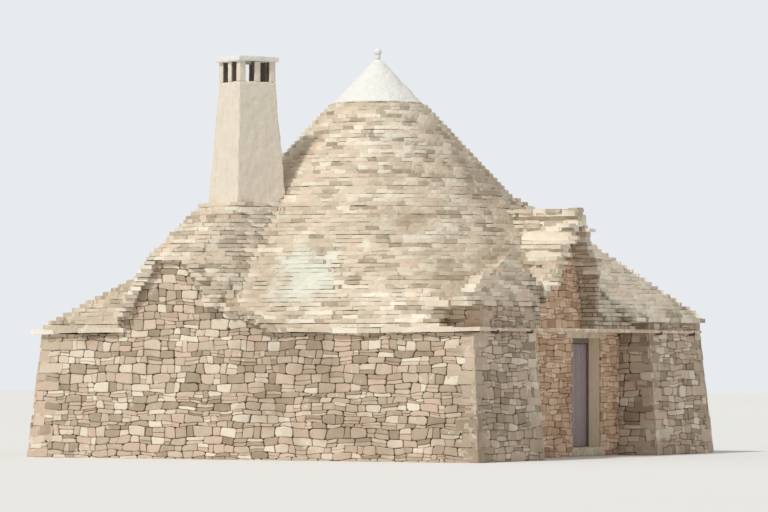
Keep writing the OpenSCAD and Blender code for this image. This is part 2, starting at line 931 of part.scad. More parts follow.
module shade_pole() {
    color("mistyrose") translate([pole_x, -pole_near, pole_z]) rotate([-90, 0, 0])
        cylinder(r = pole_r, h = pole_near + pole_far);
}

module pole_brackets() {
    places = [
        bracket_in - pole_near, -recess_near - bracket_in,
        recess_far + bracket_in, pole_far - bracket_in
    ];
    color("gray") for (y = places)
        difference() {
            block([half_top - pole_gap, y - pole_r, pole_z - 2 * pole_r],
                [pole_x + pole_r, y + pole_r, pole_z]);
            wall_envelope();
            translate([pole_x, y - metre, pole_z]) rotate([-90, 0, 0]) cylinder(r = pole_r, h = 2 * metre);
        }
}

floor();
door_sill();
front_wall();
left_wall();
back_wall();
near_wing();
far_wing();
entrance_pier_near();
entrance_pier_far();
entrance_lintel();
eaves_front();
eaves_left();
eaves_back();
near_wing_top();
near_wing_eaves();
far_wing_top();
far_wing_eaves();
corner_slabs();
dome_lower();
dome_middle();
dome_upper();
dome_top_slab();
cone_lower();
cone_middle();
cone_upper();
cone_cap();
finial();
front_left_roof();
back_left_roof();
far_corner_roof();
front_right_roof();
near_corner_roof();
front_gable();
alcove_roof();
entrance_gable();
entrance_roof();
chimney_shaft();
chimney_posts();
chimney_slab();
door_frame();
hinge_pins();
door_leaf_near();
door_leaf_far();
shade_pole();
pole_brackets();
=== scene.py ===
import math
import random

import bmesh
import bpy
from mathutils import Matrix, Vector


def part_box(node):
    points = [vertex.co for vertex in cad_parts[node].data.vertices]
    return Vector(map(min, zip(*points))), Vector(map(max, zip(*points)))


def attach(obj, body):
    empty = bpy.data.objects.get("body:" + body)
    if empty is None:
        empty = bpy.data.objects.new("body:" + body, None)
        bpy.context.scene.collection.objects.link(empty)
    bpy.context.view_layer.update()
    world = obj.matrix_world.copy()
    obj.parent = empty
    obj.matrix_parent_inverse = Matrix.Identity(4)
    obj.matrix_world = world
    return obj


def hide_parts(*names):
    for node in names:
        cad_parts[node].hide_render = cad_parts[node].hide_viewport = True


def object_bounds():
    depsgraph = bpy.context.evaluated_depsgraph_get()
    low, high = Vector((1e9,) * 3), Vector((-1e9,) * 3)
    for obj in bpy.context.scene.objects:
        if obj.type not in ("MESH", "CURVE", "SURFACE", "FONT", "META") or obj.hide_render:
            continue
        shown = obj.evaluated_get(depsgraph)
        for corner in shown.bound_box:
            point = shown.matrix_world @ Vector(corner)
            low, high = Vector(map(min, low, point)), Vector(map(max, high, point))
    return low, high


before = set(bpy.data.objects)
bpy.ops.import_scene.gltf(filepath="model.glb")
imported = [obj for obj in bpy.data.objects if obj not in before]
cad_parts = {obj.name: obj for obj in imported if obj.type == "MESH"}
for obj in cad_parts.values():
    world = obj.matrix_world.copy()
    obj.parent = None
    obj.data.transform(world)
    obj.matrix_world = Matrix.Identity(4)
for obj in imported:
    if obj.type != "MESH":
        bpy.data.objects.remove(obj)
cad_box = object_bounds()
scene = bpy.context.scene

# Daylight: a pale level floor, a low even sky, and one broad lamp high over the camera's left shoulder,
# where the sun stands in the picture. The camera is far off and nearly level, and looks at the corner
# between the long wall with the chimney and the entrance side.
EYE_TURN = math.radians(30)
EYE_AWAY = 72.0
EYE_HEIGHT = 1.6
AIM = Vector((0.12, 0.0, 3.42))
SUN_FROM = Vector((-0.15, -0.76, 0.96))
FLOOR_REACH = 130.0
scene.view_settings.view_transform = "Standard"
camera = bpy.data.objects.new("camera", bpy.data.cameras.new("camera"))
camera.location = (EYE_AWAY * math.sin(EYE_TURN), -EYE_AWAY * math.cos(EYE_TURN), EYE_HEIGHT)
camera.rotation_euler = (AIM - camera.location).to_track_quat("-Z", "Y").to_euler()
camera.data.lens = 196
camera.data.clip_end = 400
scene.collection.objects.link(camera)
scene.camera = camera

sun = bpy.data.objects.new("sun", bpy.data.lights.new("sun", "SUN"))
sun.data.energy = 2.30
sun.data.angle = math.radians(5)
sun.data.color = (1.0, 0.965, 0.91)
sun.rotation_euler = SUN_FROM.to_track_quat("Z", "Y").to_euler()
scene.collection.objects.link(sun)

sky = bpy.data.worlds.new("sky")
sky.use_nodes = True
scene.world = sky
sky_nodes, sky_links = sky.node_tree.nodes, sky.node_tree.links
sky_light = sky_nodes["Background"]
sky_light.inputs["Color"].default_value = (0.95, 0.97, 0.98, 1)
sky_light.inputs["Strength"].default_value = 0.52
sky_seen = sky_nodes.new("ShaderNodeBackground")
sky_seen.inputs["Color"].default_value = (0.80, 0.83, 0.86, 1)
ray = sky_nodes.new("ShaderNodeLightPath")
seen_mix = sky_nodes.new("ShaderNodeMixShader")
for i, source in enumerate((ray.outputs["Is Camera Ray"], sky_light.outputs[0], sky_seen.outputs[0])):
    sky_links.new(source, seen_mix.inputs[i])
sky_links.new(seen_mix.outputs[0], sky_nodes["World Output"].inputs[0])

floor_mesh = bpy.data.meshes.new("studio_floor")
floor_mesh.from_pydata([(x * FLOOR_REACH, y * FLOOR_REACH, 0) for x, y in ((-1, -1), (1, -1), (1, 1), (-1, 1))],
                       [], [(0, 1, 2, 3)])
studio_floor = bpy.data.objects.new("studio_floor", floor_mesh)
scene.collection.objects.link(studio_floor)

# Rubble walls: unshaped limestone, fitted dry and wedged with chips, in walls that lean in as they rise
# and are limewashed inside. Each stone is a cell of an uneven bond, cut back at its joints and set out
# from a darker core by its own depth, so the faces follow the walls' planes and edges exactly.
HALF_BASE = 4.33
LEAN = 0.084
WALL_TOP = 2.15
HALF_TOP = HALF_BASE - LEAN * WALL_TOP
RECESS_X = HALF_TOP - 0.55
RECESS_NEAR, RECESS_FAR = -2.05, 2.10
BAND_Y = 0.3 - HALF_TOP
STONE_DEPTH = 0.05
# The least cosine between the normals of faces that count as one plane
SAME_WAY = 0.999


class Signal:
    """A value, colour or geometry on its way through a node tree."""

    def __init__(self, tree, socket=None):
        self.tree, self.socket = tree, socket

    def node(self, kind, inputs=None, output=0, **settings):
        """An output of a new node, which gets its inputs by number or name."""
        made = self.tree.nodes.new(kind)
        for key, value in settings.items():
            setattr(made, key, value)
        for key, value in (inputs or {}).items():
            for one in value if isinstance(value, list) else [value]:
                if isinstance(one, Signal):
                    self.tree.links.new(one.socket, made.inputs[key])
                else:
                    made.inputs[key].default_value = one
        return Signal(self.tree, made.outputs[output])

    def through(self, kind, inputs=None, output=0, **settings):
        """An output of a new node with this signal as its first input."""
        return self.node(kind, {0: self, **(inputs or {})}, output, **settings)

    def out(self, place):
        """Another output of the same node."""
        return Signal(self.tree, self.socket.node.outputs[place])

    def maths(self, operation, *others):
        return self.node("ShaderNodeMath", dict(enumerate((self, *others))), operation=operation)

    def vectors(self, operation, *others):
        output = int(operation in ("LENGTH", "DISTANCE", "DOT_PRODUCT"))
        return self.node("ShaderNodeVectorMath", dict(enumerate((self, *others))), output, operation=operation)

    def scaled(self, factor):
        return self.through("ShaderNodeVectorMath", {3: factor}, operation="SCALE")

    def vector(self, x=0.0, y=0.0, z=0.0):
        return self.node("ShaderNodeCombineXYZ", {0: x, 1: y, 2: z})

    def split(self):
        """The X of a vector, with its Y and Z as the outputs 1 and 2."""
        return self.through("ShaderNodeSeparateXYZ")

    def __add__(self, other):
        return self.maths("ADD", other)

    def __sub__(self, other):
        return self.maths("SUBTRACT", other)

    def __rsub__(self, other):
        return self.node("ShaderNodeMath", {0: other, 1: self}, operation="SUBTRACT")

    def __mul__(self, other):
        return self.maths("MULTIPLY", other)

    def __truediv__(self, other):
        return self.maths("DIVIDE", other)

    def __gt__(self, other):
        return self.maths("GREATER_THAN", other)

    def __lt__(self, other):
        return self.maths("LESS_THAN", other)

    def noise(self, scale, detail=3.0, roughness=0.55, output=0, distortion=0.0):
        return self.node("ShaderNodeTexNoise", {"Vector": self, "Scale": scale, "Detail": detail,
                                                "Roughness": roughness, "Distortion": distortion}, output)

    def random(self, low, high, seed, **more):
        vector = isinstance(low, tuple)
        first = 0 if vector else 2
        return self.node("FunctionNodeRandomValue", {first: low, first + 1: high, "Seed": seed, **more}, first // 2,
                         data_type="FLOAT_VECTOR" if vector else "FLOAT")

    def step(self, low, high):
        """Smooth rise from 0 at low to 1 at high."""
        return self.node("ShaderNodeMapRange", {"Value": self, "From Min": low, "From Max": high},
                         interpolation_type="SMOOTHSTEP")

    def blend(self, under, over):
        """The colour under where this mask is 0, and over where it is 1. A plain one is as seen, 0 to 255."""
        under, over = [colour(*side) if isinstance(side, tuple) else side for side in (under, over)]
        return self.through("ShaderNodeMix", {6: under, 7: over}, 2, data_type="RGBA")

    def moved(self, **how):
        """A geometry with its points moved by an Offset or to a Position, in all or over a Selection."""
        return self.through("GeometryNodeSetPosition", how)

    def without(self, domain, selection):
        return self.through("GeometryNodeDeleteGeometry", {1: selection}, domain=domain)

    def stored(self, name, value, domain):
        """A geometry that keeps a value under a name, for recalled()."""
        return self.through("GeometryNodeStoreNamedAttribute", {"Name": name, "Value": value},
                            data_type="FLOAT", domain=domain)

    def recalled(self, name):
        return self.node("GeometryNodeInputNamedAttribute", {0: name}, data_type="FLOAT")


def colour(red, green, blue):
    """A colour as it is seen, 0 to 255, in the linear values of a shader."""
    def linear(part):
        part /= 255
        return part / 12.92 if part <= 0.04045 else ((part + 0.055) / 1.055) ** 2.4
    return (linear(red), linear(green), linear(blue), 1.0)


def finish(name):
    """A new material: its object coordinates, and the function that ends it."""
    made = bpy.data.materials.new(name)
    made.use_nodes = True
    tree = made.node_tree
    shader = tree.nodes["Principled BSDF"]
    shader.inputs["IOR"].default_value = 1.45
    place = Signal(tree).node("ShaderNodeTexCoord", output="Object")

    def close(base, rough, height=None, distance=0.01, strength=1.0):
        """The material, with its colour, its roughness and a bump where a height is given."""
        tree.links.new(base.socket, shader.inputs["Base Color"])
        if isinstance(rough, Signal):
            tree.links.new(rough.socket, shader.inputs["Roughness"])
        else:
            shader.inputs["Roughness"].default_value = rough
        if height is not None:
            bump = place.node("ShaderNodeBump", {"Height": height, "Distance": distance, "Strength": strength})
            tree.links.new(bump.socket, shader.inputs["Normal"])
        return made

    return place, close


def stone_finish(name, tones, stain, lichen, lichen_from, blooms_and_painted_light=()):
    """Weathered limestone: each stone its own tone, with stains, pale bloom and painted sunlight on given patches,
    lichen spots and a pitted face.
    """
    place, close = finish(name)
    tone = place.node("ShaderNodeAttribute", output=2, attribute_name="tone")
    base = (tone * 0.78 + place.noise(7.0, 4.0) * 0.22).through("ShaderNodeValToRGB")
    ramp, last = base.socket.node.color_ramp, len(tones) - 1
    for i in range(1, last):
        ramp.elements.new(i / last)
    for element, shade in zip(ramp.elements, tones):
        element.color = colour(*shade)
    for mask, shade in (
            (place.noise(0.55, 3.0).step(0.50, 0.66) * 0.5, stain),
            (place.noise(28.0, 5.0, 0.7).step(0.54, 0.72) * 0.45, stain),
            (place.noise(3.1, 5.0, 0.65, distortion=0.6).step(lichen_from, lichen_from + 0.07) * 0.6, lichen)):
        base = mask.blend(base, shade)
    # Pale patches about given points: some a real bloom of the stone, some painted sunlight that lightens a slope
    for middle, reach, shade, amount in blooms_and_painted_light:
        apart = place.vectors("SUBTRACT", middle).vectors("DIVIDE", reach)
        spread = 1.0 - apart.vectors("LENGTH") + (place.noise(2.6, 4.0) - 0.5) * 1.6
        base = (spread.step(0.0, 0.5) * amount).blend(base, shade)
    height = place.noise(55.0, 6.0, 0.7) * 0.7 + place.noise(9.0, 3.0) * 0.9
    rough = place.noise(14.0, 3.0) * 0.14 + 0.82
    return close(base, rough, height, 0.012, 0.9)


def bond_mesh(low, high, length, height, seed):
    """Stones of rough courses, each a flat outline of its own: some split in two, some with a corner off."""
    split_share, corner_off_share = 0.3, 0.55
    pick = random.Random(seed)
    lines, y = [], low.y - 2 * height
    while y < high.y + 2 * height:
        lines.append((y, pick.uniform(0.0, 6.3), pick.uniform(0.0, 6.3)))
        y += height * pick.uniform(0.62, 1.5)

    def line(number, x):
        """The height of a bed joint at x: it rises and falls in two slow waves."""
        y, first, second = lines[number]
        return y + height * (0.16 * math.sin(x / length * 0.9 + first) + 0.09 * math.sin(x / length * 2.3 + second))

    outlines = []
    for number in range(len(lines) - 1):
        x, slant = low.x - length * pick.uniform(1.0, 3.0), 0.0
        while x < high.x + 2 * length:
            next_x = x + length * pick.uniform(0.42, 1.75)
            next_slant = height * pick.uniform(-0.3, 0.3)
            cuts = [0.0, pick.uniform(0.38, 0.62), 1.0] if pick.random() < split_share else [0.0, 1.0]
            for below, over in zip(cuts, cuts[1:]):
                sides = []
                for share in (below, over):
                    row = []
                    for at, lean in ((x, slant), ((x + next_x) / 2, 0.0), (next_x, next_slant)):
                        place_x = at + lean * (share - 0.5)
                        foot, head = line(number, place_x), line(number + 1, place_x)
                        row.append(Vector((place_x, foot + (head - foot) * share)))
                    sides.append(row)
                ring = sides[0] + sides[1][::-1]
                outline = []
                for i, corner in enumerate(ring):
                    before, after = ring[i - 1], ring[(i + 1) % 6]
                    if i in (0, 2, 3, 5) and pick.random() < corner_off_share:
                        outline.append(corner.lerp(before, pick.uniform(0.08, 0.34)))
                        outline.append(corner.lerp(after, pick.uniform(0.08, 0.34)))
                    else:
                        outline.append(corner)
                outlines.append(outline)
            x, slant = next_x, next_slant
    points, faces = [], []
    for outline in outlines:
        faces.append(list(range(len(points), len(points) + len(outline))))
        points += [(point.x, point.y, 0.0) for point in outline]
    mesh = bpy.data.meshes.new("bond")
    mesh.from_pydata(points, [], faces)
    return mesh


def open_tree(name, **sockets):
    """A new Geometry Nodes group: itself, a blank signal in it, and its inputs as signals."""
    tree = bpy.data.node_groups.new(name, "GeometryNodeTree")
    for label, kind in sockets.items():
        tree.interface.new_socket(label, in_out="INPUT", socket_type="NodeSocket" + kind)
    tree.interface.new_socket("made", in_out="OUTPUT", socket_type="NodeSocketGeometry")
    given = tree.nodes.new("NodeGroupInput")
    return tree, Signal(tree), *(Signal(tree, given.outputs[i]) for i in range(len(sockets)))


def close_tree(tree, whole, material):
    """Ends a group: its instances made real, with their material."""
    whole = whole.through("GeometryNodeRealizeInstances").through("GeometryNodeSetMaterial", {2: material})
    tree.links.new(whole.socket, tree.nodes.new("NodeGroupOutput").inputs[0])
    return tree


def rubble_tree():
    """Turns a bond into fitted stones along +Z, kept inside a flat outline in X and Y."""
    tree, ink, bond, limits, beyond, least, depth, joint, seed, material = open_tree(
        "rubble", bond="Geometry", outline="Object", beyond="Float", least="Float", depth="Float",
        joint="Float", seed="Int", material="Material")
    outline = ink.node("GeometryNodeObjectInfo", {0: limits}, "Geometry")
    place = ink.node("GeometryNodeInputPosition")
    # Cells that reach a little past the outline are drawn in to its edge, the others and slivers go
    inside = outline.through("GeometryNodeProximity", {2: place}, target_element="FACES")
    cells = bond.without("FACE", inside.out(1) > beyond).moved(Position=inside)
    cells = cells.through("GeometryNodeMergeByDistance", {2: 0.003}).through("GeometryNodeSplitEdges")
    cells = cells.without("FACE", ink.node("GeometryNodeInputMeshFaceArea") < least)
    cells = cells.stored("tone", ink.random(0.0, 1.0, seed + 3.0), "FACE")
    cells = cells.through("GeometryNodeScaleElements", {2: 1.0 - joint * ink.random(0.7, 1.4, seed + 5.0)},
                          domain="FACE")
    # Each cell comes out by its own share of the depth, with a face that is drawn in and uneven
    back = cells.through("GeometryNodeFlipFaces")
    reach = depth * ink.random(0.42, 0.86, seed + 9.0)
    block = cells.through("GeometryNodeExtrudeMesh", {3: reach, 4: True}, mode="FACES")
    face = block.through("GeometryNodeExtrudeMesh", {1: block.out(1), 3: depth * 0.14, 4: True}, mode="FACES")
    face = face.through("GeometryNodeScaleElements", {1: face.out(1), 2: ink.random(0.78, 0.90, seed + 11.0)},
                        domain="FACE")
    wander = place.noise(6.5, 2.0, output=1).vectors("SUBTRACT", (0.5, 0.5, 0.62))
    outer = place.split().out(2) > depth * 0.3
    face = face.moved(Selection=outer, Offset=wander.vectors("MULTIPLY", (0.03, 0.03, 0.03)))
    whole = ink.node("GeometryNodeJoinGeometry", {0: [back, face]})
    return close_tree(tree, whole.through("GeometryNodeMergeByDistance", {2: 0.0001}), material)


def modified(start, kind, settings, sockets=()):
    """The plain mesh that a modifier makes of a starting mesh."""
    carrier = bpy.data.objects.new("carrier", start)
    scene.collection.objects.link(carrier)
    modifier = carrier.modifiers.new("maker", kind)
    for key, value in settings.items():
        setattr(modifier, key, value)
    for identifier, value in sockets:
        modifier[identifier] = value
    mesh = bpy.data.meshes.new_from_object(carrier.evaluated_get(bpy.context.evaluated_depsgraph_get()))
    carrier.modifiers.remove(modifier)
    bpy.data.objects.remove(carrier)
    return mesh


def grown(start, tree, **inputs):
    """The plain mesh that a node tree makes of a starting mesh."""
    return modified(start, "NODES", {"node_group": tree}, [
        (item.identifier, inputs[item.name]) for item in tree.interface.items_tree
        if item.in_out == "INPUT" and item.name in inputs])


def mesh_of(label, shape, *materials):
    """The mesh of a finished bmesh, with its materials."""
    mesh = bpy.data.meshes.new(label)
    shape.to_mesh(mesh)
    shape.free()
    for material in materials:
        mesh.materials.append(material)
    return mesh


def node_copy(node):
    """A CAD node's mesh as a bmesh of its own, with its doubles merged."""
    copy = bmesh.new()
    copy.from_mesh(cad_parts[node].data)
    bmesh.ops.remove_doubles(copy, verts=copy.verts, dist=0.0002)
    return copy


def piece(label, mesh, body, slot, *nodes):
    """A finished piece, inside the CAD model's box: named, riding on its body, and in place of the CAD
    nodes that it stands for, which are hidden. The slot is not used."""
    for vert in mesh.vertices:
        vert.co = [min(max(part, low), high) for part, low, high in zip(vert.co, *cad_box)]
    mesh.name = label
    made = bpy.data.objects.new(label, mesh)
    scene.collection.objects.link(made)
    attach(made, body)
    if nodes:
        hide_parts(*nodes)


def plane_frame(point, normal):
    """A matrix from a plane's own X, Y and +Z outward to the house."""
    up = Vector((0, 1, 0)) if normal.z > 0.9 else (Vector((0, 0, 1)) - normal * normal.z).normalized()
    return Matrix.Translation(point) @ Matrix((up.cross(normal), up, normal)).transposed().to_4x4()


def cores(planes, inner, slot, *nodes):
    """The CAD walls themselves, set back on the given planes as a dark core behind the stones."""
    outward = [(Vector(point), Vector(normal).normalized()) for point, normal in planes]
    for node in nodes:
        core = node_copy(node)
        core.normal_update()
        for face in core.faces:
            face.material_index = 0 if any(face.normal.dot(normal) > SAME_WAY for _, normal in outward) else 1
        moves = {}
        for point, normal in outward:
            for vert in core.verts:
                if abs((vert.co - point).dot(normal)) < 0.002:
                    moves[vert] = moves.get(vert, Vector()) - normal * (STONE_DEPTH * 0.96)
        for vert, move in moves.items():
            vert.co += move
        piece(node + "_core", mesh_of(node, core, wall_core, inner), "house", slot, node)


def stones(label, plane, nodes, stone, slot, length=0.21, height=0.12, joint=0.06, seed=1):
    """The stones on one face of the house, over all the CAD nodes that share it. Above the wall tops the
    leaning front goes on upright."""
    point, normal = Vector(plane[0]), Vector(plane[1]).normalized()
    bend = LEAN if plane == face_front else 0.0
    skin = bmesh.new()
    for node in nodes:
        source = node_copy(node)
        source.normal_update()
        for face in source.faces:
            middle = face.calc_center_median()
            leaning = face.normal.dot(normal) > SAME_WAY and abs((middle - point).dot(normal)) < 0.003
            upright = bend and face.normal.y < -SAME_WAY and middle.z > WALL_TOP
            if leaning or upright:
                raised = [Vector((0, bend * max(0.0, v.co.z - WALL_TOP), 0)) for v in face.verts]
                skin.faces.new([skin.verts.new(v.co + up) for v, up in zip(face.verts, raised)])
        source.free()
    to_house = plane_frame(point, normal)
    bmesh.ops.transform(skin, matrix=to_house.inverted(), verts=skin.verts)
    bmesh.ops.remove_doubles(skin, verts=skin.verts, dist=0.0002)
    limits = bpy.data.objects.new(label + "_outline", mesh_of(label, skin))
    scene.collection.objects.link(limits)
    low, high = [Vector(limits.bound_box[i]) for i in (0, 6)]
    laid = grown(bond_mesh(low, high, length, height, seed), rubble, outline=limits, beyond=length * 0.45,
                 least=length * height * 0.06, depth=STONE_DEPTH, joint=joint, seed=seed, material=stone)
    bpy.data.objects.remove(limits)
    laid.transform(to_house @ Matrix.Translation((0, 0, -STONE_DEPTH)))
    for vert in laid.vertices:
        vert.co.y -= bend * max(0.0, vert.co.z - WALL_TOP)
    piece(label, laid, "house", slot)


def limewash_finish(name, tint, streak, streak_amount, soot=None):
    """A thick coat of limewash or plaster, with brush marks and grey rain marks. Soot is the place, turn and
    half width of a blackened shaft."""
    place, close = finish(name)
    marks = place.vectors("MULTIPLY", (9.0, 9.0, 2.0)).noise(1.6, 4.0, 0.6).step(0.48, 0.72)
    base = (marks * streak_amount).blend(tint, streak)
    thin = place.noise(18.0, 5.0, 0.65).step(0.60, 0.74)
    base = (thin * 0.25).blend(base, streak)
    if soot:
        middle, turn, half = soot
        level = place.node("ShaderNodeVectorRotate", {"Vector": place, "Center": middle, "Angle": -turn},
                           rotation_type="Z_AXIS")
        away = level.vectors("SUBTRACT", middle).vectors("ABSOLUTE").split()
        black = (half - away.maths("MAXIMUM", away.out(1))).step(0.004, 0.03)
        base = (black * 0.9).blend(base, (74, 64, 54))
    height = place.noise(11.0, 3.0) + place.noise(70.0, 4.0) * 0.25
    return close(base, place.noise(8.0, 2.0) * 0.1 + 0.78, height, 0.012, 0.6)


face_front = ((0, -HALF_BASE, 0), (0, -1, LEAN))
face_left = ((-HALF_BASE, 0, 0), (-1, 0, LEAN))
face_back = ((0, HALF_BASE, 0), (0, 1, LEAN))
face_right = ((HALF_BASE, 0, 0), (1, 0, LEAN))
face_entrance = ((RECESS_X, 0, 0), (1, 0, 0))
face_near_side = ((0, RECESS_NEAR, 0), (0, 1, 0))
face_far_side = ((0, RECESS_FAR, 0), (0, -1, 0))
face_wing = ((HALF_TOP, 0, 0), (1, 0, 0))
face_band = ((0, BAND_Y, 0), (0, -1, 0))
face_back_top = ((0, HALF_TOP, 0), (0, 1, 0))
face_gable = ((0, -HALF_TOP, 0), (0, -1, 0))
rubble = rubble_tree()
wall_stone = stone_finish(
    "wall_rubble", [(134, 118, 100), (176, 158, 136), (200, 184, 162), (208, 184, 164), (224, 210, 190),
                    (242, 234, 218)], (152, 133, 112), (226, 221, 203), 0.60)
# The core's dark browns are partly the earth and chips of the joints, partly painted shade deep in the dry joints
core_place, close_core = finish("wall_core")
wall_core = close_core(core_place.noise(12.0, 4.0).blend((78, 66, 54), (128, 112, 94)), 0.95,
                       core_place.noise(40.0, 4.0), 0.01)
limewash = limewash_finish("limewash", (229, 229, 224), (198, 195, 185), 0.30)

cores([face_front, face_left, face_back, face_right, face_near_side, face_far_side], limewash, "wall_rubble",
      "front_wall", "left_wall", "back_wall", "near_wing", "far_wing")
cores([face_wing, face_band, face_back_top, face_near_side, face_far_side], wall_core, "wall_rubble",
      "near_wing_top", "far_wing_top")
cores([face_gable], wall_core, "wall_rubble", "front_gable")
for label, plane, nodes, seed in (
        ("front_stones", face_front, ["front_wall", "near_wing", "front_gable"], 1),
        ("left_stones", face_left, ["front_wall", "left_wall", "back_wall"], 2),
        ("back_stones", face_back, ["back_wall", "far_wing"], 10),
        ("right_stones", face_right, ["near_wing", "far_wing"], 4),
        ("near_side_stones", face_near_side, ["near_wing", "near_wing_top"], 5),
        ("far_side_stones", face_far_side, ["far_wing", "far_wing_top"], 6),
        ("wing_top_stones", face_wing, ["near_wing_top", "far_wing_top"], 7),
        ("near_band_stones", face_band, ["near_wing_top"], 8),
        ("far_band_stones", face_back_top, ["far_wing_top"], 9)):
    stones(label, plane, nodes, wall_stone, "wall_rubble", seed=seed)

# Entrance wall: the same dry work in smaller, redder stones, set back between the wings, with its gable
# over the door. The sides of the passage and the inner faces have a warm plaster.
entrance_nodes = ["entrance_pier_near", "entrance_pier_far", "entrance_gable"]
entrance_stone = stone_finish(
    "entrance_rubble", [(162, 128, 102), (206, 170, 140), (222, 190, 160), (234, 206, 178), (246, 228, 204)],
    (174, 142, 114), (232, 222, 202), 0.62)
entrance_plaster = limewash_finish("entrance_plaster", (244, 227, 198), (222, 202, 170), 0.35)
cores([face_entrance], entrance_plaster, "entrance_rubble", *entrance_nodes)
stones("entrance_stones", face_entrance, entrance_nodes, entrance_stone, "entrance_rubble", length=0.19,
       height=0.10, seed=14)

# Roof slabs: thin grey limestone slabs laid dry in level courses, each course set back on the one below,
# from the square eaves to the round cone. Every course is a level ring thrown in against the roof's
# solids, so that the slabs follow the corners, the spur under the chimney and the entrance roof.
ROOF_NODES = ("cone_lower", "cone_middle", "cone_upper", "front_left_roof", "back_left_roof", "far_corner_roof",
              "front_right_roof", "near_corner_roof", "alcove_roof", "entrance_roof")
CAP_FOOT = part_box("cone_cap")[0].z
RING_ENDS = (WALL_TOP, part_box("cone_middle")[0].z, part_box("cone_upper")[0].z, CAP_FOOT)
ROOF_COURSES = 55
SLAB_RISE = (CAP_FOOT - WALL_TOP) / ROOF_COURSES
RIDGE_Y = 0.10


def slab_row_tree():
    """Lays flat slabs end to end along the edges that it gets, front edge outward."""
    tree, ink, line, length, depth, thick, outset, rough, seed, material = open_tree(
        "slab_row", line="Geometry", length="Float", depth="Float", thick="Float", outset="Float",
        rough="Float", seed="Int", material="Material")
    curve = line.through("GeometryNodeMeshToCurve")
    points = curve.through("GeometryNodeCurveToPoints", {2: length}, mode="LENGTH")
    along = points.out(1)
    place = ink.node("GeometryNodeInputPosition")
    aside = along.vectors("CROSS_PRODUCT", (0.0, 0.0, 1.0))
    sign = (aside.vectors("DOT_PRODUCT", place) > 0.0) * 2.0 - 1.0
    inward = aside.vectors("NORMALIZE").scaled(sign).scaled(-1.0)
    run = along.vectors("MULTIPLY", (1.0, 1.0, 0.0)).scaled(sign)
    turn = run.through("FunctionNodeAxesToRotation", {1: inward}, primary_axis="X", secondary_axis="Y")
    lean = ink.random((-0.05, -0.03, -0.07), (0.02, 0.03, 0.07), seed + 1.0).through("FunctionNodeEulerToRotation")
    turn = turn.through("FunctionNodeRotateRotation", {1: lean}, rotation_space="LOCAL")
    # A slab's front edge is curved in plan
    across = place.split()
    rounded = across * across * (across.out(1) < 0.0) * 0.22
    block = ink.node("GeometryNodeMeshCube", {0: (1.0, 1.0, 1.0), 1: 5, 2: 2, 3: 2})
    block = block.moved(Offset=ink.vector(y=rounded + 0.5))
    size = ink.random((0.98, 0.8, 0.80), (1.40, 1.2, 1.10), seed + 2.0)
    size = size.vectors("MULTIPLY", ink.vector(length, depth, thick))
    shift = ink.random((-0.12, -0.12, -0.08), (0.12, 0.14, 0.08), seed + 3.0)
    shift = shift.vectors("MULTIPLY", ink.vector(length, thick, thick)).vectors("SUBTRACT", ink.vector(y=outset))
    slabs = points.through("GeometryNodeInstanceOnPoints", {2: block, 5: turn, 6: size})
    slabs = slabs.through("GeometryNodeTranslateInstances", {2: shift, 3: True})
    slabs = slabs.stored("tone", ink.random(0.0, 1.0, seed + 4.0), "INSTANCE")
    slabs = slabs.through("GeometryNodeRealizeInstances")
    # Its edges are chipped, in another way on each slab
    own = ink.recalled("tone")
    chip = place.vectors("ADD", ink.vector(own * 40.0, own * 70.0)).noise(8.0, 1.0, output=1)
    chip = chip.vectors("SUBTRACT", (0.5, 0.5, 0.5)).scaled(rough).vectors("MULTIPLY", (2.0, 2.0, 0.7))
    return close_tree(tree, slabs.moved(Offset=chip), material)


def courses_tree():
    """Lays level courses of slabs over the roof that it gets, between two heights."""
    tree, ink, roof, foot, head, rise, length, depth, outset, rough, seed, material = open_tree(
        "courses", roof="Geometry", foot="Float", head="Float", rise="Float", length="Float", depth="Float",
        outset="Float", rough="Float", seed="Int", material="Material")
    # One wide level ring of points for each course
    levels = ink.node("GeometryNodeMeshLine", {
        0: ((head - foot) / rise).maths("FLOOR"), 2: ink.vector(z=foot), 3: ink.vector(z=rise)})
    levels = levels.moved(Offset=ink.random((0.0, 0.0, -0.06), (0.0, 0.0, 0.06), seed).scaled(rise))
    ring = ink.node("GeometryNodeMeshCircle", {0: 360, 1: 9.0})
    spin = ink.random((0.0, 0.0, 0.0), (0.0, 0.0, 6.28), seed + 1.0).through("FunctionNodeEulerToRotation")
    rings = levels.through("GeometryNodeInstanceOnPoints", {2: ring, 5: spin})
    rings = rings.through("GeometryNodeRealizeInstances")
    place = ink.node("GeometryNodeInputPosition")
    inward = place.vectors("MULTIPLY", (-1.0, -1.0, 0.0))
    lift = ink.vector(z=rise)
    # Each point goes straight in to the roof, and stays where the course has a tread of its own
    hit = roof.through("GeometryNodeRaycast", {2: place, 3: inward, 4: 9.0})
    above = roof.through("GeometryNodeRaycast", {2: place.vectors("ADD", lift), 3: inward, 4: 9.0})
    tread = hit.out(1).vectors("ADD", lift).vectors("DISTANCE", above.out(1))
    kept = hit * (tread > 0.02).maths("MAXIMUM", 1.0 - above)
    rings = rings.stored("kept", kept, "POINT").moved(Position=hit.out(1))
    rings = rings.without("POINT", ink.recalled("kept") < 0.5)
    # No slab bridges the gap between two parts of the roof
    ends = ink.node("GeometryNodeInputMeshEdgeVertices", output=2)
    rings = rings.without("EDGE", ends.vectors("DISTANCE", ends.out(3)) > 0.45)
    rows = ink.node("GeometryNodeGroup", {
        "line": rings, "length": length, "depth": depth, "thick": rise * 0.98, "outset": outset, "rough": rough,
        "seed": seed, "material": material}, node_tree=slab_row)
    return close_tree(tree, rows, material)


def merged(*meshes):
    """One mesh of several, with their materials."""
    whole = bmesh.new()
    slots = []
    for mesh in meshes:
        start = len(whole.faces)
        whole.from_mesh(mesh)
        whole.faces.ensure_lookup_table()
        for face in whole.faces[start:]:
            material = mesh.materials[face.material_index] if mesh.materials else None
            if material not in slots:
                slots.append(material)
            face.material_index = slots.index(material)
    return mesh_of("merged", whole, *slots)


